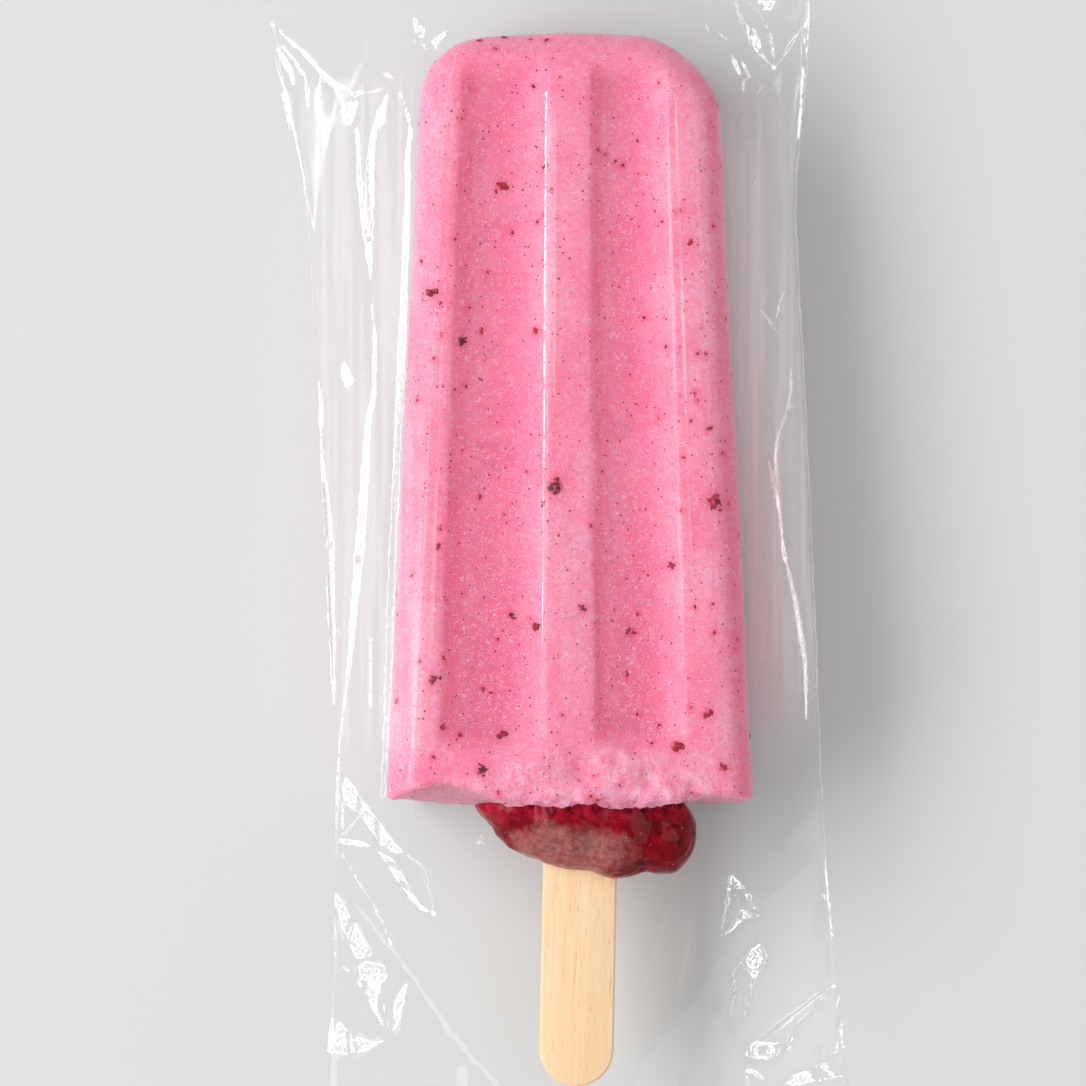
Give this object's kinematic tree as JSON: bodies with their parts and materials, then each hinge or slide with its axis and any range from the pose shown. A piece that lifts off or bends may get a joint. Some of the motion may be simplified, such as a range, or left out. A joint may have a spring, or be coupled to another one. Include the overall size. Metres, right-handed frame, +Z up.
{
  "type": "ice pop",
  "caption": "Fluted frozen yogurt and fruit ice pop on a wooden stick, lying on its back in a clear film sleeve.",
  "frame": {"origin": "bottom centre of the film sleeve, on the surface that it lies on", "axes": "+Z up, out of the shown front face; +Y along the pop towards its rounded tip; +X to the right"},
  "size_m": [0.0762, 0.1524, 0.025],
  "materials": {
    "frozen_yogurt": "frozen, satin, with a fine frost and dark fruit specks",
    "frozen_fruit": "wet and glossy, partly frosted",
    "birch": "plain, sanded, fine grain",
    "clear_film": "clear and glossy, creased"
  },
  "bodies": {
    "root": {"frozen_body": "frozen_yogurt", "fruit_lump": "frozen_fruit", "wooden_stick": "birch", "film_sleeve": "clear_film"}
  },
  "joints": []
}
